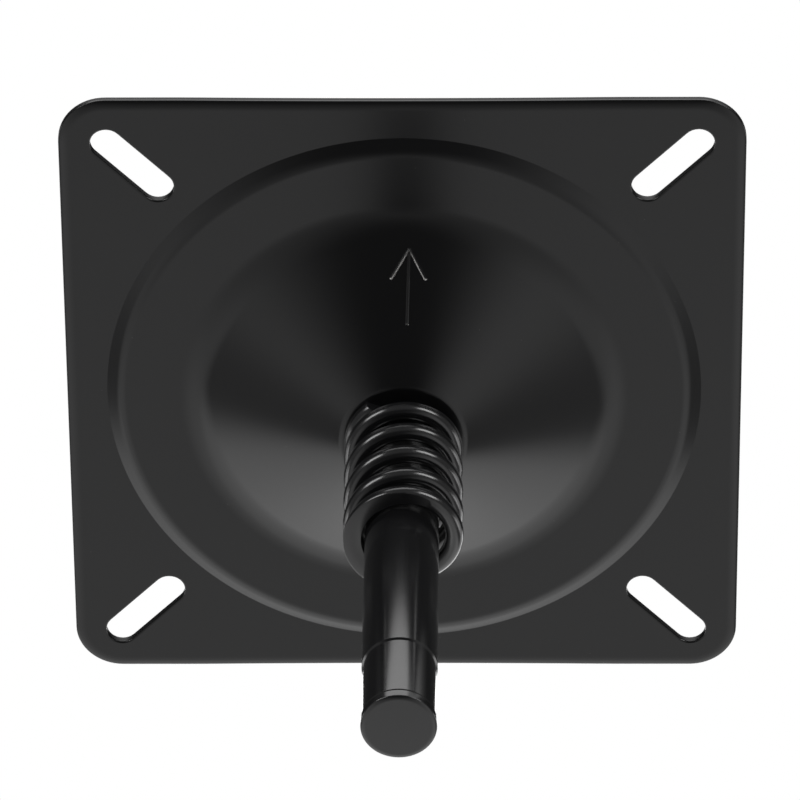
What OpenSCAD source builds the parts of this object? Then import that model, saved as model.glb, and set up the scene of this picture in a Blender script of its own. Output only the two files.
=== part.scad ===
// Spring cushioned pin post mount for a swivel seat.
// A pressed steel plate bolts under the seat. A turned post is welded through
// the middle of its dome and turns in a pedestal socket, and a coil spring
// between the dome and the socket takes up the bumps.
// Origin: centre of the plate's top face. +Z is up, the post points down,
// and the raised arrow points to the front, which is -Y. Millimetres.

/* [Mounting plate] */
// Width and depth of the plate
plate_size = 177.8; // [170:0.1:200]
// Thickness of the sheet
plate_t = 2.3; // [1.5:0.1:3]
// Radius of the plate's corners
corner_r = 12.4; // [6:0.1:20]
// How far the front and back edges are drawn in by the pressing
edge_draw = 0.6; // [0.3:0.1:1.5]
// Half the length of the drawn in stretch of those edges
edge_draw_w = 55; // [30:1:65]
// How far the edges lie forward of where the dome would be centred in them
edge_shift = 0.5; // [0:0.1:1]

/* [Seat bolt slots] */
// Distance from the side edges to the centre of a slot's outer end
slot_margin = 12.4; // [10:0.1:14]
// Distance between the centres of a slot's two ends, along each edge
slot_run = 13; // [8:0.1:16]
// Width of a slot
slot_w = 8.3; // [6:0.1:9.5]

/* [Pressed dome] */
// Width of the flat border beside the dome, from a side edge to the crease
border_w = 10.6; // [9:0.1:13]
// Height of the shelf above the flat plate
shelf_rise = 1.9; // [1.2:0.1:3]
// Slope of the step from the flat plate to the shelf
step_slope = 28; // [22:1:40]
// Radius of the curve between the step and the shelf
step_blend_r = 6; // [4:0.1:8]
// Width of the level shelf
shelf_w = 14.2; // [8:0.1:18]
// Radius of the hollow curve between the shelf and the cone
root_blend_r = 18; // [8:0.1:20]
// Height of the spring seat above the flat plate
seat_rise = 23.2; // [20:0.1:28]
// Radius of the flat spring seat
seat_r = 16.5; // [16:0.1:19]
// Radius of the curve between the cone and the spring seat
seat_blend_r = 5; // [3.5:0.1:8]

/* [Direction arrow] */
// Distance of the arrow's tail from the centre
arrow_tail_r = 31.1; // [29:0.1:33]
// Length of the arrow along the cone
arrow_len = 20.2; // [15:0.1:22]
// Length of each side of the arrow's head
arrow_head_len = 9.5; // [5:0.1:10]
// Angle between the arrow's shaft and each side of its head
arrow_head_angle = 30; // [25:1:45]
// Angle by which the arrow misses straight ahead
arrow_turn = 2; // [0:0.1:5]
// Width of the raised line
arrow_line_w = 0.9; // [0.5:0.1:1.5]
// Height of the raised line
arrow_height = 0.35; // [0.2:0.05:0.7]

/* [Post] */
// Diameter of the post
post_d = 19.05; // [18.5:0.05:19.5]
// Length of the post below the spring seat
post_len = 127.6; // [110:0.1:140]
// Length of the turned down stretch, up to the end of the post
relief_len = 25.1; // [15:0.1:35]
// Depth of the turned down stretch, on each side
relief_depth = 0.35; // [0.1:0.05:0.5]
// Length of the slope at each end of the turned down stretch
relief_run = 0.7; // [0.5:0.1:1]
// Length of the head at the post's end
head_len = 3; // [2.5:0.1:5]
// How far in the rounding of the head's edge starts, on the end face
head_edge_w = 1.4; // [0.5:0.1:3]
// Length of that rounding along the head
head_edge_h = 0.5; // [0.3:0.1:1.5]
// Diameter of the spigot that passes through the plate
spigot_d = 16; // [12:0.1:17]
// Length of the spigot above the plate's inner face
spigot_stand = 3; // [2:0.1:5]
// Gap between the spigot and its hole, on each side
spigot_gap = 0.1; // [0.05:0.05:0.2]
// Leg of the weld around the spigot
weld_leg = 3.5; // [2.5:0.1:4]

/* [Spring] */
// Diameter of the wire
wire_d = 4.75; // [4:0.05:4.8]
// Outer diameter of the spring
spring_od = 31; // [30.9:0.1:32]
// Length of the spring when it is free
spring_len = 46.3; // [42:0.1:55]
// Number of turns of wire
spring_turns = 5.45; // [5:0.05:6]
// Angle of the wire's first end around the post, seen from below
spring_start = 128; // [0:1:359]
// How far the free end of the spring leans sideways
spring_lean = 0.4; // [0:0.05:0.4]

/* [Hidden] */

$fn = 96;

// Steel under black paint, a little different from piece to piece
plate_colour = [0.16, 0.16, 0.17];
post_colour = [0.22, 0.22, 0.23];
weld_colour = [0.19, 0.19, 0.2];
spring_colour = [0.26, 0.26, 0.27];

plate_half = plate_size / 2;
// Steps along each arc of the dome's section
arc_steps = 10;
// Facets of the very large circles that draw the plate's edges in
draw_fn = 1440;
// A cut runs this far past the faces that it goes through
past = 1;

post_r = post_d / 2;
relief_r = post_r - relief_depth;
spigot_r = spigot_d / 2;
wire_r = wire_d / 2;
coil_r = (spring_od - wire_d) / 2;

// Heights of the dome's outer side. Down is away from the seat.
flat_z = -plate_t;
shelf_z = flat_z - shelf_rise;
seat_z = flat_z - seat_rise;
inner_seat_z = seat_z + plate_t;

// Centres of the section's three arcs
crease_r = plate_half - border_w;
step_drop = shelf_rise - step_blend_r * (1 - cos(step_slope));
shelf_r = crease_r - step_drop / tan(step_slope) - step_blend_r * sin(step_slope);
step_z0 = shelf_z + step_blend_r;
shelf_inner_r = shelf_r - shelf_w;
root_z0 = shelf_z - root_blend_r;
crown_z0 = seat_z + seat_blend_r;

// The cone is the line that touches both curves
cone_dr = shelf_inner_r - seat_r;
cone_dz = root_z0 - crown_z0;
cone_span = norm([cone_dr, cone_dz]);
cone_angle = atan2(cone_dz, cone_dr) + asin((root_blend_r + seat_blend_r) / cone_span);

// Points of an arc in the section, by angle from straight down
function arc(r0, z0, radius, from, to) =
    [for (k = [0 : arc_steps])
        let (a = from + (to - from) * k / arc_steps)
        [r0 + radius * sin(a), z0 - radius * cos(a)]];

// One side of the sheet, from the crease to the spring seat.
// inset is 0 on the outer side and the sheet's thickness on the inner side.
function dome_side(inset) = concat(
    [[crease_r - inset * tan(step_slope / 2), flat_z + inset]],
    arc(shelf_r, step_z0, step_blend_r - inset, step_slope, 0),
    arc(shelf_inner_r, root_z0, root_blend_r + inset, 180, 180 + cone_angle),
    arc(seat_r, crown_z0, seat_blend_r - inset, cone_angle, 0));

function backwards(list) = [for (k = [len(list) - 1 : -1 : 0]) list[k]];

// Section of the sheet beyond the crease, out past the plate's corners
sheet_reach = plate_size;

module sheet_section() {
    polygon(concat(
        [[sheet_reach, 0]],
        [[sheet_reach, flat_z]],
        dome_side(0),
        [[0, seat_z]],
        [[0, inner_seat_z]],
        backwards(dome_side(plate_t))));
}

// Shell that stands out from the dome's outer side as far as the arrow does
module stamp_section() {
    polygon(concat(
        dome_side(-arrow_height),
        backwards(dome_side(plate_t / 2))));
}

module plate_outline() {
    straight = plate_size - 2 * corner_r;
    draw_r = edge_draw_w * edge_draw_w / (2 * edge_draw) + edge_draw / 2;
    translate([0, -edge_shift])
    difference() {
        union() {
            square([plate_size, straight], center = true);
            square([straight, plate_size], center = true);
            for (x = [-1, 1], y = [-1, 1])
                translate([x * straight / 2, y * straight / 2])
                    circle(corner_r);
        }
        for (y = [-1, 1])
            translate([0, y * (plate_half - edge_draw + draw_r)])
                circle(draw_r, $fn = draw_fn);
    }
}

module seat_slot() {
    outer = (plate_half - slot_margin) * sqrt(2);
    inner = outer - slot_run * sqrt(2);
    translate([inner, 0])
        circle(slot_w / 2);
    translate([outer, 0])
        circle(slot_w / 2);
    translate([inner, -slot_w / 2])
        square([outer - inner, slot_w]);
}

// Raised lines of the arrow, drawn flat with the tail at the origin
module arrow_lines() {
    translate([-arrow_line_w / 2, -arrow_len])
        square([arrow_line_w, arrow_len]);
    for (side = [-1, 1])
        translate([0, -arrow_len])
            rotate(side * arrow_head_angle)
                translate([-arrow_line_w / 2, 0])
                    square([arrow_line_w, arrow_head_len]);
}

module arrow_stamp() {
    intersection() {
        rotate_extrude()
            stamp_section();
        rotate(arrow_turn)
            translate([0, -arrow_tail_r, seat_z - past])
                linear_extrude(seat_rise)
                    scale_along_cone()
                        arrow_lines();
    }
}

// The arrow is measured along the cone, and is shorter seen from straight below
module scale_along_cone() {
    multmatrix([[1, 0, 0, 0], [0, cos(cone_angle), 0, 0], [0, 0, 1, 0]])
        children();
}

module mounting_plate() {
    color(plate_colour)
    difference() {
        intersection() {
            translate([0, 0, seat_z - past])
                linear_extrude(seat_rise + plate_t + past)
                    plate_outline();
            rotate_extrude()
                sheet_section();
        }
        for (corner = [45 : 90 : 315])
            rotate(corner)
                translate([0, 0, flat_z - past])
                    linear_extrude(plate_t + 2 * past)
                        seat_slot();
        translate([0, 0, seat_z - past])
            cylinder(h = plate_t + 2 * past, r = spigot_r + spigot_gap);
    }
    color(plate_colour)
        arrow_stamp();
}

module post() {
    end_z = seat_z - post_len;
    head_z = end_z + head_len;
    relief_z = end_z + relief_len;
    color(post_colour)
    rotate_extrude()
        polygon(concat(
            [[0, end_z]],
            [for (k = [0 : arc_steps])
                let (a = 90 * k / arc_steps)
                [post_r - head_edge_w * (1 - sin(a)), end_z + head_edge_h * (1 - cos(a))]],
            [[post_r, head_z - relief_run]],
            [[relief_r, head_z]],
            [[relief_r, relief_z - relief_run]],
            [[post_r, relief_z]],
            [[post_r, seat_z]],
            [[spigot_r, seat_z]],
            [[spigot_r, inner_seat_z + spigot_stand]],
            [[0, inner_seat_z + spigot_stand]]));
}

// Weld around the spigot, inside the dome
module post_weld() {
    hollow = 0.18 * weld_leg;
    color(weld_colour)
    rotate_extrude()
        polygon([
            [spigot_r, inner_seat_z],
            [spigot_r + weld_leg, inner_seat_z],
            [spigot_r + weld_leg / 2 + hollow, inner_seat_z + weld_leg / 2 - hollow],
            [spigot_r, inner_seat_z + spigot_stand]]);
}

// Sides of the wire's section and steps in one turn of the coil
wire_sides = 14;
turn_steps = 26;
// Turns at each end that lie one wire apart, and the turns over which the
// coil then opens out
closed_turns = 0.65;
opening_turns = 0.5;
// Gap between the closed turns
closed_gap = 0.1;
// What grinding leaves of the wire's thickness at its first and last end
first_end_left = 3.4;
last_end_left = 1.4;
// The first end is sheared, and reaches this much further on its inner side
first_end_slant = 2.6;

module spring() {
    steps = ceil(spring_turns * turn_steps);
    closed_pitch = wire_d + closed_gap;
    start_z = first_end_left - wire_r;
    end_z = spring_len - last_end_left + wire_r;
    last_opening = spring_turns - closed_turns - opening_turns;
    opened = last_opening - closed_turns;
    open_extra = (end_z - start_z - spring_turns * closed_pitch) / opened;
    // Turns made at the open pitch, where it comes in over opening_turns
    function made(t) = t <= 0 ? 0
        : t < opening_turns ? t * t / (2 * opening_turns)
        : t - opening_turns / 2;
    // Distance of the wire's middle from the spring seat, by turns from the start
    function down(t) = start_z + closed_pitch * t
        + open_extra * (made(t - closed_turns) - made(t - last_opening));
    // Half the angle of the wire's section that grinding takes off, where its
    // middle lies this far from the ground face
    flat_side = 180 / wire_sides;
    function ground(gap) = gap < wire_r ? max(acos(gap / wire_r), flat_side) : flat_side;
    function ring(k) =
        let (
            t = spring_turns * k / steps,
            a = -(spring_start + 360 * t),
            first_half = t < spring_turns / 2,
            gap = first_half ? down(t) : spring_len - down(t),
            off = ground(gap),
            slant = k == 0 ? first_end_slant / 2 : 0)
        [for (s = [0 : wire_sides - 1])
            let (
                j = first_half ? s : (s + wire_sides / 2) % wire_sides,
                w = (first_half ? -90 : 90) + off + (360 - 2 * off) * j / (wire_sides - 1),
                r = coil_r + wire_r * cos(w),
                reach = slant * (1 - cos(w)),
                z = down(t) + wire_r * sin(w),
                lean = spring_lean * z / spring_len)
            [r * cos(a) - reach * sin(a) + lean, r * sin(a) + reach * cos(a), seat_z - z]];
    points = [for (k = [0 : steps]) each ring(k)];
    last = steps * wire_sides;
    faces = concat(
        [[for (s = [0 : wire_sides - 1]) s]],
        [for (k = [0 : steps - 1], s = [0 : wire_sides - 1])
            let (n = (s + 1) % wire_sides, a = k * wire_sides, b = a + wire_sides)
            [a + n, a + s, b + s, b + n]],
        [[for (s = [wire_sides - 1 : -1 : 0]) last + s]]);
    color(spring_colour)
        polyhedron(points, faces, convexity = 10);
}

mounting_plate();
post();
post_weld();
spring();
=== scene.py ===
# Dresses the swivel seat base: fine meshes and black finishes for its four
# pieces, plus the camera, the studio that they reflect and a pale floor.
# Lengths are metres, in the frame of the solids: origin at the centre of the
# plate's top face, +Z up, the post points down and the arrow points to -Y.
import math

import bmesh
import bpy
from mathutils import Matrix, Vector


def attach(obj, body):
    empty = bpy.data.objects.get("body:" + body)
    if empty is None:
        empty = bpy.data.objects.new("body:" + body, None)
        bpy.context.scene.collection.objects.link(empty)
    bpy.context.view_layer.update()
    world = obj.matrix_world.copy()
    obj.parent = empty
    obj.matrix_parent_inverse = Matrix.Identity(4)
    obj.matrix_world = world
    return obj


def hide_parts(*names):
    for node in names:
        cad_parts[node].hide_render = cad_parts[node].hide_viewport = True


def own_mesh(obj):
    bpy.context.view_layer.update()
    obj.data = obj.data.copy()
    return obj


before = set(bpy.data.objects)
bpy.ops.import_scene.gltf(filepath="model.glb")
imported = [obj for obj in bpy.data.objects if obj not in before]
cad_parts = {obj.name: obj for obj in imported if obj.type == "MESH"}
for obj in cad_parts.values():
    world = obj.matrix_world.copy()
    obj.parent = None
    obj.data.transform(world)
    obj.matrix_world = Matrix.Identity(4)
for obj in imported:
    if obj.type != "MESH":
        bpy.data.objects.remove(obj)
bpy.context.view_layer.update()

MM = 0.001

# Mounting plate
PLATE_SIZE = 177.8 * MM
PLATE_T = 2.3 * MM
CORNER_R = 12.4 * MM
EDGE_DRAW = 0.3 * MM
EDGE_DRAW_W = 55.0 * MM
EDGE_SHIFT = 0.5 * MM
SLOT_MARGIN = 12.4 * MM
SLOT_RUN = 13.0 * MM
SLOT_W = 8.3 * MM

# Pressed dome
BORDER_W = 10.6 * MM
SHELF_RISE = 1.9 * MM
STEP_SLOPE = math.radians(28)
STEP_BLEND_R = 6.0 * MM
SHELF_W = 14.2 * MM
ROOT_BLEND_R = 18.0 * MM
SEAT_RISE = 23.2 * MM
SEAT_R = 15.7 * MM
SEAT_BLEND_R = 3.0 * MM

# Direction arrow
ARROW_TAIL_R = 30.75 * MM
ARROW_LEN = 19.8 * MM
ARROW_HEAD_LEN = 9.3 * MM
ARROW_HEAD_ANGLE = math.radians(30)
ARROW_TURN = math.radians(2)
ARROW_LINE_W = 0.9 * MM
ARROW_HEIGHT = 0.35 * MM
# Half of a raised line's section, as shares of its half width and of its height
ARROW_SECTION = [(1.45, -0.5), (1.0, 0.0), (0.55, 0.5), (0.32, 0.82), (0.16, 0.96), (0.0, 1.0)]
# Its end, as shares of its half width along the line and of its height
ARROW_END = [(-0.5, -1.0), (-0.5, -0.5), (0.0, 0.0), (0.45, 0.5), (0.7, 0.82), (0.9, 1.0)]
ARROW_STEPS = 12

# Punched edges. Round the plate the outer side rolls over, and the wall next to it has a
# burnished band. In the slots it is only rounded, as the inner side is everywhere.
ROLL_OVER_W = 2.8 * MM
ROLL_OVER_H = 0.65 * MM
ROLL_OVER_STEPS = 20
BURNISHED = 0.35 * MM
OUTER_EDGE_R = 0.5 * MM
INNER_EDGE_R = 0.3 * MM

# Post and its weld
POST_R = 19.05 / 2 * MM
POST_LEN = 127.6 * MM
RELIEF_LEN = 25.1 * MM
RELIEF_R = POST_R - 0.35 * MM
RELIEF_RUN = 0.45 * MM
TOOL_LINE = 0.2 * MM
HEAD_GROOVE = 0.3 * MM
HEAD_LEN = 3.0 * MM
HEAD_EDGE_W = 1.4 * MM
HEAD_EDGE_H = 0.5 * MM
SPIGOT_R = 16.0 / 2 * MM
SPIGOT_STAND = 3.0 * MM
SPIGOT_GAP = 0.1 * MM
WELD_LEG = 3.5 * MM
WELD_RIPPLES = 40
RIPPLE_DEPTH = 0.1

# Spring
WIRE_R = 4.75 / 2 * MM
COIL_R = 31.0 / 2 * MM - WIRE_R
SPRING_LEN = 46.3 * MM
SPRING_TURNS = 5.45
SPRING_START = math.radians(128)
SPRING_LEAN = 0.4 * MM
CLOSED_TURNS = 0.65
OPENING_TURNS = 0.5
CLOSED_GAP = 0.1 * MM
# Wire left by the grinding at each end's tip, and the slant of the first tip's cut
FIRST_END_LEFT = 3.4 * MM
LAST_END_LEFT = 1.4 * MM
FIRST_END_SLANT = 2.6 * MM
GROUND_EDGE = 0.25 * MM

# The photograph's camera, below the plate and in front of it
CAMERA_AZIMUTH = math.radians(1.22)
CAMERA_ELEVATION = math.radians(-56.64)
CAMERA_ROLL = math.radians(0.98)
CAMERA_DISTANCE = 1949.7 * MM
CAMERA_AIM = Vector((-1.09, 1.68, -3.63)) * MM
CAMERA_LENS = 332.64
CAMERA_SENSOR = 36

# Finishes
SHEET_BLACK = (0.006, 0.006, 0.0063)
STEEL_BLACK = (0.008, 0.008, 0.0085)
# painted highlight: bright metal for the arrow's sides that face the side lamps
HIGHLIGHT_STEEL = (0.42, 0.41, 0.4)
PAINT_IOR = 1.5
SHEARED_IOR = 1.3
OILED_IOR = 1.65
SHEET_SKIN = {"Peel Height": 1.5e-6, "Wave Height": 2.5e-5}
FINE_SKIN = {"Peel Height": 1.5e-6, "Wave Height": 0.0}

# Floor, for views from above
FLOOR_HALF = 4.0
FLOOR_GAP = 0.5 * MM
FLOOR_TONE = (0.85, 0.85, 0.85)

# Brightness of the studio's parts, where the camera's white is 1
ROOM_DARK, ROOM_PALE = 0.04, 0.22
SIDES_LEVEL = 0.68
MIDDLE_LEVEL = 0.27
WALL_LEVEL = 1.25
TABLE_LEVEL = 1.4
LAMP_LEVEL = 3.0
FRONT_LEFT, FRONT_RIGHT = 2.2, 0.8
BOX_LEVEL = 6.0
BACK_LEVEL = 3.0

SEAT_Z = -PLATE_T - SEAT_RISE
SHELF_Z = -PLATE_T - SHELF_RISE


def arc(r0, z0, radius, start, end, steps=16):
    """Points of an arc in the section, by angle in radians from straight down."""
    points = []
    for k in range(steps + 1):
        a = start + (end - start) * k / steps
        points.append((r0 + radius * math.sin(a), z0 - radius * math.cos(a)))
    return points


CREASE_R = PLATE_SIZE / 2 - BORDER_W
STEP_DROP = SHELF_RISE - STEP_BLEND_R * (1 - math.cos(STEP_SLOPE))
SHELF_R = CREASE_R - STEP_DROP / math.tan(STEP_SLOPE) - STEP_BLEND_R * math.sin(STEP_SLOPE)
SHELF_INNER_R = SHELF_R - SHELF_W
ROOT_Z0 = SHELF_Z - ROOT_BLEND_R
CROWN_Z0 = SEAT_Z + SEAT_BLEND_R
CONE_SPAN = math.hypot(SHELF_INNER_R - SEAT_R, ROOT_Z0 - CROWN_Z0)
CONE_ANGLE = (math.atan2(ROOT_Z0 - CROWN_Z0, SHELF_INNER_R - SEAT_R)
              + math.asin((ROOT_BLEND_R + SEAT_BLEND_R) / CONE_SPAN))


def dome_side(inset):
    """One side of the sheet from the crease to the spring seat."""
    return ([(CREASE_R - inset * math.tan(STEP_SLOPE / 2), inset - PLATE_T)]
            + arc(SHELF_R, SHELF_Z + STEP_BLEND_R, STEP_BLEND_R - inset, STEP_SLOPE, 0)
            + arc(SHELF_INNER_R, ROOT_Z0, ROOT_BLEND_R + inset, math.pi, math.pi + CONE_ANGLE)
            + arc(SEAT_R, CROWN_Z0, SEAT_BLEND_R - inset, CONE_ANGLE, 0))


def new_piece(name, bm):
    """Makes an object of bm, at the origin, and frees it."""
    bmesh.ops.remove_doubles(bm, verts=bm.verts, dist=1e-7)
    bmesh.ops.recalc_face_normals(bm, faces=bm.faces)
    mesh = bpy.data.meshes.new(name)
    bm.to_mesh(mesh)
    bm.free()
    piece = bpy.data.objects.new(name, mesh)
    bpy.context.scene.collection.objects.link(piece)
    return piece


def lathe(outline, steps, closed):
    """A bmesh turned round the Z axis from (radius, height) points."""
    bm = bmesh.new()
    verts = [bm.verts.new((r, 0, z)) for r, z in outline]
    edges = [bm.edges.new(pair) for pair in zip(verts, verts[1:])]
    if closed:
        edges.append(bm.edges.new((verts[-1], verts[0])))
    bmesh.ops.spin(bm, geom=verts + edges, cent=(0, 0, 0), axis=(0, 0, 1),
                   angle=2 * math.pi, steps=steps, use_merge=True, use_duplicate=False)
    return bm


def skin(loops, ring):
    """A bmesh through loops of equally many points: a ring, or capped at both ends."""
    bm = bmesh.new()
    rows = [[bm.verts.new(point) for point in loop] for loop in loops]
    pairs = list(zip(rows, rows[1:])) + ([(rows[-1], rows[0])] if ring else [])
    for near, far in pairs:
        for k in range(len(near)):
            n = (k + 1) % len(near)
            bm.faces.new((near[k], near[n], far[n], far[k]))
    if not ring:
        bm.faces.new(rows[0][::-1])
        bm.faces.new(rows[-1])
    return bm


def punched_wall(past, lip_w=OUTER_EDGE_R, lip_h=OUTER_EDGE_R, burnished=0.0, steps=6):
    """(out, z) down a punched edge, from past the inner side to past the outer one. out is
    0 on the wall and less in the metal."""
    def quarter(k):
        return math.pi / 2 * k / steps

    top = INNER_EDGE_R
    return ([(-top, past)]
            + [(top * math.sin(quarter(k)) - top, top * math.cos(quarter(k)) - top)
               for k in range(steps + 1)]
            + ([(0.0, lip_h + burnished - PLATE_T)] if burnished else [])
            + [(lip_w * math.cos(quarter(k)) - lip_w, lip_h - lip_h * math.sin(quarter(k)) - PLATE_T)
               for k in range(steps + 1)]
            + [(-lip_w, -PLATE_T - past)])


def cut(piece, cutter, operation):
    """Cuts or trims piece by cutter, and throws the cutter away."""
    change = piece.modifiers.new("cut", "BOOLEAN")
    change.operation = operation
    change.solver = "EXACT"
    change.object = cutter
    bpy.context.view_layer.update()
    result = bpy.data.meshes.new_from_object(
        piece.evaluated_get(bpy.context.evaluated_depsgraph_get()))
    piece.modifiers.clear()
    piece.data = result
    bpy.data.objects.remove(cutter)


def smooth(piece, angle):
    """Shades piece smooth, but sharp at edges of more than angle degrees."""
    piece.data.polygons.foreach_set("use_smooth", [True] * len(piece.data.polygons))
    piece.data.set_sharp_from_angle(angle=math.radians(angle))


def plate_outline(out=0.0, steps=16, side_steps=24):
    """The rounded square, its front and back edges drawn in, grown by out."""
    half = PLATE_SIZE / 2
    inner = half - CORNER_R
    points = []
    for k, (sx, sy) in enumerate([(1, 1), (-1, 1), (-1, -1), (1, -1)]):
        for s in range(steps + 1):
            a = math.pi / 2 * (k + s / steps)
            x = sx * inner + CORNER_R * math.cos(a)
            y = sy * inner + CORNER_R * math.sin(a)
            points.append((x, y))
        if k in (0, 2):
            for s in range(1, side_steps):
                points.append((sx * inner * (1 - 2 * s / side_steps), sy * half))
    draw_r = EDGE_DRAW_W ** 2 / (2 * EDGE_DRAW) + EDGE_DRAW / 2
    drawn = []
    for x, y in points:
        edge = half - EDGE_DRAW + draw_r - math.sqrt(draw_r ** 2 - x ** 2)
        drawn.append(Vector((x, max(-edge, min(edge, y)) - EDGE_SHIFT)))
    grown = []
    for k, point in enumerate(drawn):
        run = drawn[(k + 1) % len(drawn)] - drawn[k - 1]
        grown.append(point + Vector((run.y, -run.x)).normalized() * out)
    return grown


def slot_outline(angle, out=0.0, steps=16):
    """The slot on the diagonal at angle. As on its wall, out is less than 0 in the metal."""
    half = SLOT_W / 2 - out
    outer = (PLATE_SIZE / 2 - SLOT_MARGIN) * math.sqrt(2)
    inner = outer - SLOT_RUN * math.sqrt(2)
    points = []
    for middle, start in ((outer, -math.pi / 2), (inner, math.pi / 2)):
        for s in range(steps + 1):
            a = start + math.pi * s / steps
            x = middle + half * math.cos(a)
            y = half * math.sin(a)
            points.append((x * math.cos(angle) - y * math.sin(angle),
                           x * math.sin(angle) + y * math.cos(angle)))
    return points


def cone_point(along, aside, out):
    """Point over the dome's outer side, measured along the cone from the arrow's tail."""
    r = math.hypot(ARROW_TAIL_R + along * math.cos(CONE_ANGLE), aside)
    turn = ARROW_TURN + math.atan2(aside, ARROW_TAIL_R + along * math.cos(CONE_ANGLE))
    top_r = SEAT_R + SEAT_BLEND_R * math.sin(CONE_ANGLE)
    top_z = CROWN_Z0 - SEAT_BLEND_R * math.cos(CONE_ANGLE)
    z = top_z + (r - top_r) * math.tan(CONE_ANGLE) - out * math.cos(CONE_ANGLE)
    r += out * math.sin(CONE_ANGLE)
    return (r * math.sin(turn), -r * math.cos(turn), z)


def raised_line(name, start, end, width, height):
    """A raised line with sloping sides and ends on the cone between two (along, aside) points."""
    section = [(-across, up) for across, up in ARROW_SECTION] + ARROW_SECTION[-2::-1]
    run = (end[0] - start[0], end[1] - start[1])
    length = math.hypot(*run)
    ahead = (run[0] / length, run[1] / length)
    stations = [(near * width / 2, top) for near, top in ARROW_END]
    stations += [(length * k / ARROW_STEPS, 1.0) for k in range(1, ARROW_STEPS)]
    stations += [(length - near * width / 2, top) for near, top in ARROW_END[::-1]]
    loops = []
    for s, top in stations:
        loops.append([cone_point(
            start[0] + ahead[0] * s - ahead[1] * across * width / 2,
            start[1] + ahead[1] * s + ahead[0] * across * width / 2,
            (min(up, top) if up > -0.5 else -0.8) * height) for across, up in section])
    return new_piece(name, skin(loops, ring=False))


def faces_the_post(face):
    """Whether this is a side of the raised arrow that slopes down towards the post."""
    r = math.hypot(face.center.x, face.center.y)
    if not (ARROW_TAIL_R - MM < r < ARROW_TAIL_R + ARROW_LEN and face.center.y < 0
            and abs(face.center.x) < ARROW_HEAD_LEN):
        return False
    over = Vector((0, -math.sin(CONE_ANGLE), -math.cos(CONE_ANGLE)))
    downhill = Vector((0, math.cos(CONE_ANGLE), -math.sin(CONE_ANGLE)))
    return 0.5 < face.normal.dot(over) < 0.85 and face.normal.dot(downhill) > 0.2


def make_plate():
    """The sheet, turned from one section, trimmed square, punched, and marked with the arrow."""
    reach = PLATE_SIZE
    bore = SPIGOT_R + SPIGOT_GAP
    section = ([(reach, 0), (reach, -PLATE_T)] + dome_side(0)
               + [(bore, SEAT_Z), (bore, SEAT_Z + PLATE_T)]
               + dome_side(PLATE_T)[::-1])
    plate = new_piece("pressed_plate", lathe(section, 256, closed=True))
    # the trim is a ring: down the rolled edge, and back up outside the turned sheet
    edge = punched_wall(PLATE_T, ROLL_OVER_W, ROLL_OVER_H, BURNISHED, ROLL_OVER_STEPS)
    away = [(reach, -2 * PLATE_T), (reach, PLATE_T)]
    trim = [[(*point, z) for point in plate_outline(out)] for out, z in edge + away]
    cut(plate, new_piece("trim", skin(trim, ring=True)), "DIFFERENCE")
    wall = punched_wall(PLATE_T)
    for k in range(4):
        hole = [[(*point, z) for point in slot_outline(math.pi / 4 + k * math.pi / 2, out)]
                for out, z in wall]
        cut(plate, new_piece("slot", skin(hole, ring=False)), "DIFFERENCE")
    tip = (ARROW_LEN, 0)
    for side in (-1, 1):
        barb = (ARROW_LEN - ARROW_HEAD_LEN * math.cos(ARROW_HEAD_ANGLE),
                side * ARROW_HEAD_LEN * math.sin(ARROW_HEAD_ANGLE))
        cut(plate, raised_line("barb", barb, tip, ARROW_LINE_W, ARROW_HEIGHT), "UNION")
    cut(plate, raised_line("shaft", (0, 0), tip, ARROW_LINE_W, ARROW_HEIGHT), "UNION")
    smooth(plate, 20)
    sheared_z = ROLL_OVER_H + BURNISHED - PLATE_T
    for face in plate.data.polygons:
        # level faces are shaded flat, so that the cuts' smooth edges don't bend their light
        if abs(face.normal.z) > 0.99999:
            face.use_smooth = False
        # the arrow's sides that slope towards the post get bright metal, a painted highlight where they
        # face the side lamps
        elif faces_the_post(face):
            face.material_index = 1
        elif abs(face.normal.z) < 0.3 and face.center.z > sheared_z and face.center.xy.length > CREASE_R:
            face.material_index = 2
    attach(plate, "base")
    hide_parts("mounting_plate")
    return plate


def make_post():
    """The turned bar: rounded head, groove, turned down stretch, shoulder and spigot."""
    end = SEAT_Z - POST_LEN
    head = end + HEAD_LEN
    relief = end + RELIEF_LEN
    edge = [(POST_R - HEAD_EDGE_W * (1 - r), end + HEAD_EDGE_H * (1 + z))
            for r, z in arc(0, 0, 1, 0, math.pi / 2)]
    outline = ([(0, end)] + edge
               + [(POST_R, head - RELIEF_RUN), (RELIEF_R - HEAD_GROOVE, head),
                  (RELIEF_R - HEAD_GROOVE, head + HEAD_GROOVE), (RELIEF_R, head + 2 * HEAD_GROOVE),
                  (RELIEF_R, relief - RELIEF_RUN - TOOL_LINE), (RELIEF_R - TOOL_LINE, relief - RELIEF_RUN),
                  (POST_R, relief), (POST_R, SEAT_Z), (SPIGOT_R, SEAT_Z),
                  (SPIGOT_R, SEAT_Z + PLATE_T + SPIGOT_STAND), (0, SEAT_Z + PLATE_T + SPIGOT_STAND)])
    post = new_piece("turned_post", lathe(outline, 128, closed=False))
    smooth(post, 18)
    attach(post, "base")
    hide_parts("post")
    return post


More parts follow.
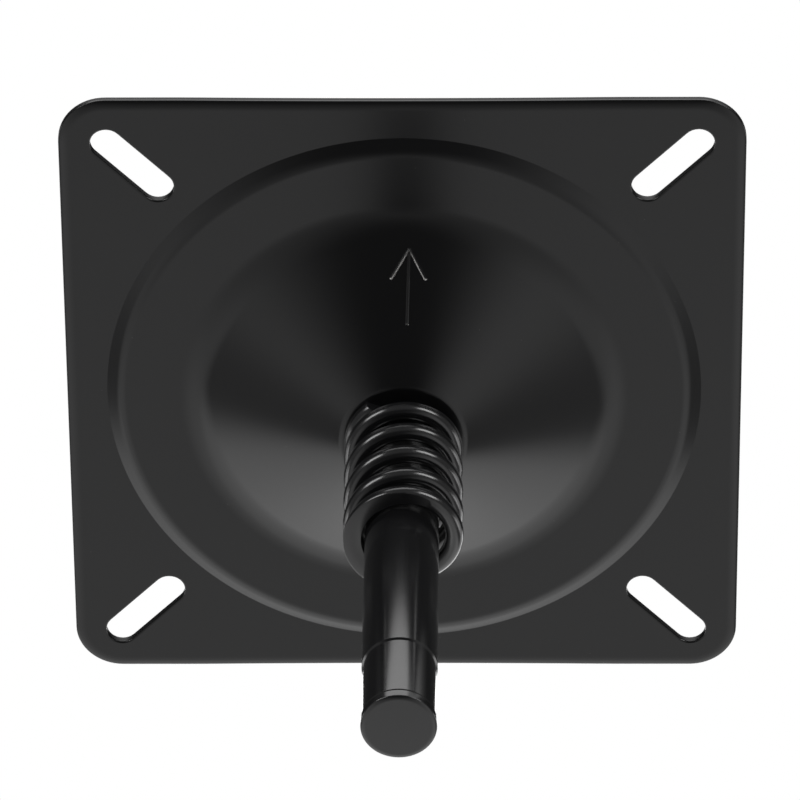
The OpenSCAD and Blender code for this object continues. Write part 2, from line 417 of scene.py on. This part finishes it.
def make_weld():
    """The bead round the spigot inside the dome, laid in overlapping ripples."""
    steps, across = 480, 8
    bm = bmesh.new()
    foot = SPIGOT_R + SPIGOT_GAP
    rings = []
    for k in range(steps):
        a = 2 * math.pi * k / steps
        wave = (a * WELD_RIPPLES / (2 * math.pi)) % 1
        crest = math.sqrt(1 - (2 * wave - 1) ** 2 * 0.9)
        leg = WELD_LEG * (1 - RIPPLE_DEPTH + RIPPLE_DEPTH * crest)
        ring = []
        for j in range(across + 1):
            b = math.pi / 2 * j / across
            bulge = 0.62 + 0.1 * math.sin(2 * b)
            straight = 1 / (math.cos(b) + math.sin(b))
            size = leg * min(1.0, straight + bulge * (1 - straight) * 0.5)
            ring.append((foot + size * math.cos(b), SEAT_Z + PLATE_T + size * math.sin(b)
                         * SPIGOT_STAND / WELD_LEG))
        ring.append((foot, SEAT_Z + PLATE_T))
        rings.append([bm.verts.new((r * math.cos(a), r * math.sin(a), z)) for r, z in ring])
    for near, far in zip(rings, rings[1:] + rings[:1]):
        for j in range(len(near)):
            n = (j + 1) % len(near)
            bm.faces.new((near[j], far[j], far[n], near[n]))
    weld = new_piece("weld_bead", bm)
    smooth(weld, 40)
    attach(weld, "base")
    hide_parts("post_weld")
    return weld


def make_spring():
    """A helix of round wire that closes at both ends, where the section is ground flat."""
    sides, turn_steps = 28, 60
    steps = math.ceil(SPRING_TURNS * turn_steps)
    closed_pitch = 2 * WIRE_R + CLOSED_GAP
    start = FIRST_END_LEFT - WIRE_R
    end = SPRING_LEN - LAST_END_LEFT + WIRE_R
    last_opening = SPRING_TURNS - CLOSED_TURNS - OPENING_TURNS
    open_extra = (end - start - SPRING_TURNS * closed_pitch) / (last_opening - CLOSED_TURNS)

    def made(t):
        """Turns made at the open pitch, where it comes in over OPENING_TURNS."""
        if t <= 0:
            return 0
        if t < OPENING_TURNS:
            return t * t / (2 * OPENING_TURNS)
        return t - OPENING_TURNS / 2

    def down(t):
        """Distance of the wire's middle from the spring seat, by turns from the start."""
        return (start + closed_pitch * t
                + open_extra * (made(t - CLOSED_TURNS) - made(t - last_opening)))

    def ground(gap):
        """Half the angle of the wire's section that grinding takes off."""
        flat_side = math.pi / sides
        return max(math.acos(gap / WIRE_R), flat_side) if gap < WIRE_R else flat_side

    bm = bmesh.new()
    rings = []
    for k in range(steps + 1):
        t = SPRING_TURNS * k / steps
        a = -(SPRING_START + 2 * math.pi * t)
        first_half = t < SPRING_TURNS / 2
        off = ground(down(t) if first_half else SPRING_LEN - down(t))
        slant = FIRST_END_SLANT / 2 if k == 0 else 0
        ring = []
        for s in range(sides):
            j = s if first_half else (s + sides // 2) % sides
            w = (-1 if first_half else 1) * math.pi / 2 + off + 2 * (math.pi - off) * j / (sides - 1)
            r = COIL_R + WIRE_R * math.cos(w)
            z = down(t) + WIRE_R * math.sin(w)
            reach = slant * (1 - math.cos(w))
            lean = SPRING_LEAN * z / SPRING_LEN
            ring.append(bm.verts.new((r * math.cos(a) - reach * math.sin(a) + lean,
                                      r * math.sin(a) + reach * math.cos(a), SEAT_Z - z)))
        rings.append(ring)
    for near, far in zip(rings, rings[1:]):
        for s in range(sides):
            n = (s + 1) % sides
            bm.faces.new((near[n], near[s], far[s], far[n]))
    bm.faces.new(rings[0])
    bm.faces.new(rings[-1][::-1])
    bmesh.ops.recalc_face_normals(bm, faces=bm.faces)
    rims = [edge for edge in bm.edges if edge.calc_face_angle(0) > math.radians(50)]
    bmesh.ops.bevel(bm, geom=rims, offset=GROUND_EDGE, offset_type="OFFSET", segments=3, profile=0.5,
                    affect="EDGES", material=-1, clamp_overlap=True)
    spring = new_piece("coil_spring", bm)
    smooth(spring, 30)
    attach(spring, "base")
    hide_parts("spring")
    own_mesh(spring)
    return spring


def new_group(name, inputs, outputs):
    """A node group with these (name, default) inputs and (name, kind) outputs."""
    group = bpy.data.node_groups.new(name, "ShaderNodeTree")
    for title, default in inputs:
        kind = "NodeSocketFloat" if isinstance(default, float) else "NodeSocketColor"
        socket = group.interface.new_socket(title, in_out="INPUT", socket_type=kind)
        socket.default_value = default
    for title, kind in outputs:
        group.interface.new_socket(title, in_out="OUTPUT", socket_type=kind)
    return group, group.nodes.new("NodeGroupInput"), group.nodes.new("NodeGroupOutput")


def noise_node(group, scale, detail, dimensions="3D"):
    """A noise texture. In 1D the caller scales the coordinate itself."""
    noise = group.nodes.new("ShaderNodeTexNoise")
    noise.noise_dimensions = dimensions
    noise.inputs["Detail"].default_value = detail
    if dimensions == "1D":
        noise.inputs["Scale"].default_value = 1.0
    else:
        group.links.new(scale, noise.inputs["Scale"])
    return noise


def paint_skin_group():
    """Fine orange peel over slow waves in the sheet, as a height in metres."""
    group, given, result = new_group(
        "paint skin", [("Peel Scale", 900.0), ("Peel Height", 2e-6), ("Wave Scale", 45.0),
                       ("Wave Height", 3e-5)], [("Height", "NodeSocketFloat")])
    place = group.nodes.new("ShaderNodeTexCoord")
    parts = []
    for scale, height in (("Peel Scale", "Peel Height"), ("Wave Scale", "Wave Height")):
        noise = noise_node(group, given.outputs[scale], 1.0)
        group.links.new(place.outputs["Object"], noise.inputs["Vector"])
        times = group.nodes.new("ShaderNodeMath")
        times.operation = "MULTIPLY"
        group.links.new(noise.outputs["Fac"], times.inputs[0])
        group.links.new(given.outputs[height], times.inputs[1])
        parts.append(times.outputs[0])
    total = group.nodes.new("ShaderNodeMath")
    group.links.new(parts[0], total.inputs[0])
    group.links.new(parts[1], total.inputs[1])
    group.links.new(total.outputs[0], result.inputs["Height"])
    return group


def turning_group():
    """Fine rings left on a bar by the lathe, as a height in metres."""
    group, given, result = new_group("turning marks", [("Rings per Metre", 2500.0), ("Ring Height", 2e-6)],
                                     [("Height", "NodeSocketFloat")])
    place = group.nodes.new("ShaderNodeTexCoord")
    split = group.nodes.new("ShaderNodeSeparateXYZ")
    group.links.new(place.outputs["Object"], split.inputs["Vector"])
    along = group.nodes.new("ShaderNodeMath")
    along.operation = "MULTIPLY"
    group.links.new(split.outputs["Z"], along.inputs[0])
    group.links.new(given.outputs["Rings per Metre"], along.inputs[1])
    noise = noise_node(group, None, 2.0, dimensions="1D")
    group.links.new(along.outputs[0], noise.inputs["W"])
    times = group.nodes.new("ShaderNodeMath")
    times.operation = "MULTIPLY"
    group.links.new(noise.outputs["Fac"], times.inputs[0])
    group.links.new(given.outputs["Ring Height"], times.inputs[1])
    group.links.new(times.outputs[0], result.inputs["Height"])
    return group


def handling_group():
    """Cloudy tone and small pale dust specks, and the roughness that goes with them."""
    group, given, result = new_group(
        "handling", [("Tone", (*SHEET_BLACK, 1.0)), ("Speck Tone", (0.05, 0.05, 0.048, 1.0)),
                     ("Cloud Scale", 30.0), ("Speck Scale", 160.0), ("Speck Size", 0.02),
                     ("Roughness", 0.2), ("Roughness Spread", 0.03)],
        [("Color", "NodeSocketColor"), ("Roughness", "NodeSocketFloat")])
    place = group.nodes.new("ShaderNodeTexCoord")
    clouds = noise_node(group, given.outputs["Cloud Scale"], 3.0)
    group.links.new(place.outputs["Object"], clouds.inputs["Vector"])
    cells = group.nodes.new("ShaderNodeTexVoronoi")
    group.links.new(place.outputs["Object"], cells.inputs["Vector"])
    group.links.new(given.outputs["Speck Scale"], cells.inputs["Scale"])
    speck = group.nodes.new("ShaderNodeMath")
    speck.operation = "LESS_THAN"
    group.links.new(cells.outputs["Distance"], speck.inputs[0])
    group.links.new(given.outputs["Speck Size"], speck.inputs[1])
    mix = group.nodes.new("ShaderNodeMix")
    mix.data_type = "RGBA"
    group.links.new(speck.outputs[0], mix.inputs["Factor"])
    group.links.new(given.outputs["Tone"], mix.inputs["A"])
    group.links.new(given.outputs["Speck Tone"], mix.inputs["B"])
    group.links.new(mix.outputs["Result"], result.inputs["Color"])
    spread = group.nodes.new("ShaderNodeMath")
    spread.operation = "MULTIPLY_ADD"
    centred = group.nodes.new("ShaderNodeMath")
    centred.operation = "SUBTRACT"
    centred.inputs[1].default_value = 0.5
    group.links.new(clouds.outputs["Fac"], centred.inputs[0])
    group.links.new(centred.outputs[0], spread.inputs[0])
    group.links.new(given.outputs["Roughness Spread"], spread.inputs[1])
    group.links.new(given.outputs["Roughness"], spread.inputs[2])
    group.links.new(spread.outputs[0], result.inputs["Roughness"])
    return group


PAINT_SKIN, TURNING, HANDLING = paint_skin_group(), turning_group(), handling_group()


def black_paint(name, tone, roughness, relief, relief_inputs, ior=PAINT_IOR):
    """Black finish: its tone and gloss from handling, its relief from one of the height groups."""
    material = bpy.data.materials.new(name)
    material.use_nodes = True
    nodes, links = material.node_tree.nodes, material.node_tree.links
    shader = nodes["Principled BSDF"]
    shader.inputs["IOR"].default_value = ior
    handled = nodes.new("ShaderNodeGroup")
    handled.node_tree = HANDLING
    handled.inputs["Tone"].default_value = (*tone, 1)
    handled.inputs["Roughness"].default_value = roughness
    links.new(handled.outputs["Color"], shader.inputs["Base Color"])
    links.new(handled.outputs["Roughness"], shader.inputs["Roughness"])
    height = nodes.new("ShaderNodeGroup")
    height.node_tree = relief
    for title, value in relief_inputs.items():
        height.inputs[title].default_value = value
    bump = nodes.new("ShaderNodeBump")
    bump.inputs["Distance"].default_value = 1.0
    links.new(height.outputs["Height"], bump.inputs["Height"])
    links.new(bump.outputs["Normal"], shader.inputs["Normal"])
    return material


def highlight_steel(name):
    """Bright metal put on the arrow's sides as a painted highlight, where they catch the side lamps."""
    material = bpy.data.materials.new(name)
    material.use_nodes = True
    shader = material.node_tree.nodes["Principled BSDF"]
    shader.inputs["Base Color"].default_value = (*HIGHLIGHT_STEEL, 1)
    shader.inputs["Metallic"].default_value = 1.0
    shader.inputs["Roughness"].default_value = 0.3
    return material


def dress(piece, *materials):
    """Adds the materials in the order of the piece's material indices."""
    for material in materials:
        piece.data.materials.append(material)


def make_floor():
    """A pale floor under the post's tip. It is there for the camera only, and only from
    above, because the photograph looks up from below it."""
    bm = bmesh.new()
    bmesh.ops.create_grid(bm, x_segments=1, y_segments=1, size=FLOOR_HALF,
                          matrix=Matrix.Translation((0, 0, SEAT_Z - POST_LEN - FLOOR_GAP)))
    floor = new_piece("floor", bm)
    floor.visible_diffuse = False
    floor.visible_glossy = False
    floor.visible_transmission = False
    floor.visible_shadow = False
    material = bpy.data.materials.new("pale_floor")
    material.use_nodes = True
    nodes, links = material.node_tree.nodes, material.node_tree.links
    shader = nodes["Principled BSDF"]
    shader.inputs["Base Color"].default_value = (*FLOOR_TONE, 1)
    shader.inputs["Roughness"].default_value = 0.9
    clear = nodes.new("ShaderNodeBsdfTransparent")
    side = nodes.new("ShaderNodeNewGeometry")
    mix = nodes.new("ShaderNodeMixShader")
    links.new(side.outputs["Backfacing"], mix.inputs["Fac"])
    links.new(shader.outputs["BSDF"], mix.inputs[1])
    links.new(clear.outputs["BSDF"], mix.inputs[2])
    links.new(mix.outputs["Shader"], nodes["Material Output"].inputs["Surface"])
    dress(floor, material)


def make_camera():
    """The photograph's camera, turned to its aim and rolled a little."""
    level = math.cos(CAMERA_ELEVATION)
    back = Vector((math.sin(CAMERA_AZIMUTH) * level, -math.cos(CAMERA_AZIMUTH) * level,
                   math.sin(CAMERA_ELEVATION)))
    data = bpy.data.cameras.new("camera")
    data.sensor_width = CAMERA_SENSOR
    data.lens = CAMERA_LENS
    camera = bpy.data.objects.new("camera", data)
    bpy.context.scene.collection.objects.link(camera)
    right = Vector((0, 0, 1)).cross(back).normalized()
    up = back.cross(right)
    turned_right = right * math.cos(CAMERA_ROLL) + up * math.sin(CAMERA_ROLL)
    turned_up = up * math.cos(CAMERA_ROLL) - right * math.sin(CAMERA_ROLL)
    axes = Matrix((turned_right, turned_up, back)).transposed().to_4x4()
    camera.matrix_world = Matrix.Translation(CAMERA_AIM + back * CAMERA_DISTANCE) @ axes
    bpy.context.scene.camera = camera


def make_world():
    """White to the camera. The object sees a studio, drawn by direction: right is +X,
    ahead is +Y and up is +Z, each from -1 to 1. Where parts meet, the brighter one shows."""
    world = bpy.data.worlds.new("studio")
    world.use_nodes = True
    nodes, links = world.node_tree.nodes, world.node_tree.links

    def math_node(operation, *values):
        node = nodes.new("ShaderNodeMath")
        node.operation = operation
        for socket, value in zip(node.inputs, values):
            if isinstance(value, (int, float)):
                socket.default_value = value
            else:
                links.new(value, socket)
        return node.outputs[0]

    def ramp(value, low, high, dark=0.0, bright=1.0):
        node = nodes.new("ShaderNodeMapRange")
        node.interpolation_type = "SMOOTHSTEP"
        links.new(value, node.inputs["Value"])
        for socket, number in zip(("From Min", "From Max", "To Min", "To Max"), (low, high, dark, bright)):
            node.inputs[socket].default_value = number
        return node.outputs["Result"]

    def product(first, *others):
        for other in others:
            first = math_node("MULTIPLY", first, other)
        return first

    place = nodes.new("ShaderNodeTexCoord")
    split = nodes.new("ShaderNodeSeparateXYZ")
    links.new(place.outputs["Generated"], split.inputs["Vector"])
    right, ahead, up = split.outputs["X"], split.outputs["Y"], split.outputs["Z"]
    aside = math_node("ABSOLUTE", right)
    level_part = math_node("SQRT", math_node("ADD", math_node("POWER", right, 2.0),
                                             math_node("POWER", ahead, 2.0)))
    # the room: darkest straight down, pale round the horizon, dim high up, most so at the back
    high = math_node("MAXIMUM", ramp(up, 0.1, 0.4, 1.0, 0.1), ramp(ahead, -0.3, 0.0, 0.35, 0.0))
    room = product(ramp(up, -0.75, -0.5, ROOM_DARK, ROOM_PALE), high)
    # low down it grows paler to the back and sides, most in the middle of the back
    sideways = math_node("ADD", math_node("MULTIPLY", aside, 1.5), math_node("MULTIPLY", right, 0.3))
    sides = product(ramp(math_node("ADD", ahead, sideways), -0.1, 1.15, 0.0, SIDES_LEVEL),
                    ramp(up, -0.72, -0.52, 1.0, 0.0))
    middle = product(ramp(ahead, 0.35, 0.6, 0.0, MIDDLE_LEVEL), ramp(aside, 0.3, 0.6, 1.0, 0.0),
                     ramp(up, -0.6, -0.4, 1.0, 0.0))
    level = math_node("ADD", room, math_node("ADD", sides, middle))
    # the wall beyond the back edge, in a wedge that is turned a little to one side
    turned = math_node("SUBTRACT", ahead, math_node("MULTIPLY", right, 0.06))
    wall = product(ramp(math_node("DIVIDE", turned, level_part), 0.62, 0.82, 0.0, WALL_LEVEL),
                   ramp(up, -0.78, -0.6), ramp(up, 0.1, 0.3, 1.0, 0.0))
    # the table that the plate lies on, seen at the horizon behind it
    table = product(ramp(up, -0.14, -0.02, 0.0, TABLE_LEVEL), ramp(up, 0.15, 0.35, 1.0, 0.0),
                    ramp(ahead, -0.1, 0.3))
    # a lamp far out on each side, and a light box on each side in front
    lamps = product(ramp(aside, 0.82, 0.86, 0.0, LAMP_LEVEL), ramp(ahead, 0.1, 0.2),
                    ramp(up, -0.44, -0.36), ramp(up, -0.14, -0.04, 1.0, 0.0))
    boxes = product(ramp(aside, 0.42, 0.5, 0.0, BOX_LEVEL), ramp(aside, 0.8, 0.9, 1.0, 0.0),
                    ramp(ahead, -0.6, -0.5, 1.0, 0.0), ramp(up, -0.32, -0.26),
                    ramp(up, 0.0, 0.08, 1.0, 0.0))
    # the front lamp, brighter on its left, and the lit backdrop behind
    front = product(ramp(right, -0.44, -0.36), ramp(right, 0.24, 0.32, FRONT_LEFT, FRONT_RIGHT),
                    ramp(right, 0.5, 0.6, 1.0, 0.0), ramp(ahead, -0.15, 0.15, 1.0, 0.0),
                    ramp(up, 0.3, 0.45))
    back = product(ramp(ahead, 0.48, 0.56, 0.0, BACK_LEVEL), ramp(up, 0.2, 0.35))
    for part in (wall, table, lamps, front, boxes, back):
        level = math_node("MAXIMUM", level, part)
    tone = nodes.new("ShaderNodeCombineColor")
    for socket in tone.inputs:
        links.new(level, socket)
    background = nodes["Background"]
    links.new(tone.outputs["Color"], background.inputs["Color"])
    seen = nodes.new("ShaderNodeBackground")
    seen.inputs["Color"].default_value = (1, 1, 1, 1)
    path = nodes.new("ShaderNodeLightPath")
    mix = nodes.new("ShaderNodeMixShader")
    links.new(path.outputs["Is Camera Ray"], mix.inputs["Fac"])
    links.new(background.outputs["Background"], mix.inputs[1])
    links.new(seen.outputs["Background"], mix.inputs[2])
    links.new(mix.outputs["Shader"], nodes["World Output"].inputs["Surface"])
    bpy.context.scene.world = world


bpy.context.scene.view_settings.view_transform = "Standard"
make_camera()
make_world()
make_floor()
dress(make_plate(), black_paint("plate_black", SHEET_BLACK, 0.2, PAINT_SKIN, SHEET_SKIN),
      # the second material is a painted highlight on the arrow's sides
      highlight_steel("painted_highlight_steel"),
      black_paint("sheared_edge", SHEET_BLACK, 0.45, PAINT_SKIN, FINE_SKIN, SHEARED_IOR))
dress(make_weld(), black_paint("weld_black", SHEET_BLACK, 0.3, PAINT_SKIN, FINE_SKIN))
dress(make_post(), black_paint("post_black", STEEL_BLACK, 0.17, TURNING, {}, OILED_IOR))
dress(make_spring(), black_paint("spring_black", STEEL_BLACK, 0.2, PAINT_SKIN, FINE_SKIN, OILED_IOR))
